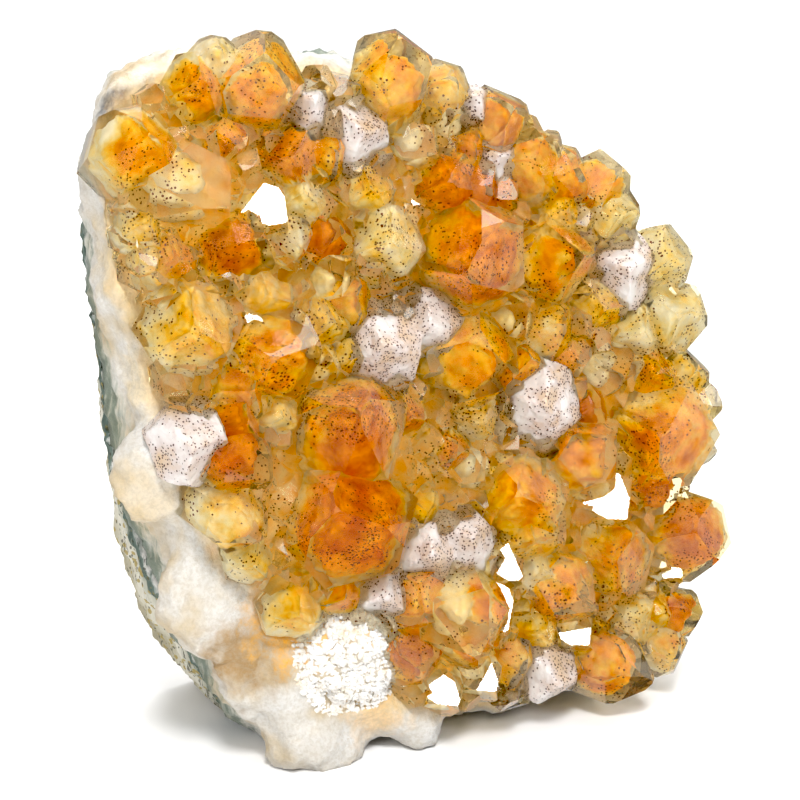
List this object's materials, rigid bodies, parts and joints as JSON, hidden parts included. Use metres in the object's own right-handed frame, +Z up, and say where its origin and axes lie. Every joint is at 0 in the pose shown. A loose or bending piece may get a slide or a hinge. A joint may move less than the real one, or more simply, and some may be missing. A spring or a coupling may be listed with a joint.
{
  "type": "citrine cluster",
  "caption": "Freestanding piece of geode wall: golden citrine points crowd its face, on a bed of milky quartz with a grey-green rind behind.",
  "frame": {"origin": "middle of the object's box at the level of the flat base", "axes": "+Z up, the crystal face looks along -Y and leans back 12 degrees, +X to the right of someone who faces it"},
  "size_m": [0.1026, 0.0574, 0.1114],
  "materials": {
    "citrine": "clear to cloudy golden quartz with flat shiny faces and fine dark specks",
    "milky_quartz": "white sugary broken quartz, slightly see-through at the edges",
    "rind": "rough grey-green outer rock with a pale granular edge"
  },
  "bodies": {
    "root": {"citrine_crystals": "citrine", "quartz_bed": "milky_quartz", "rind": "rind"}
  },
  "joints": []
}
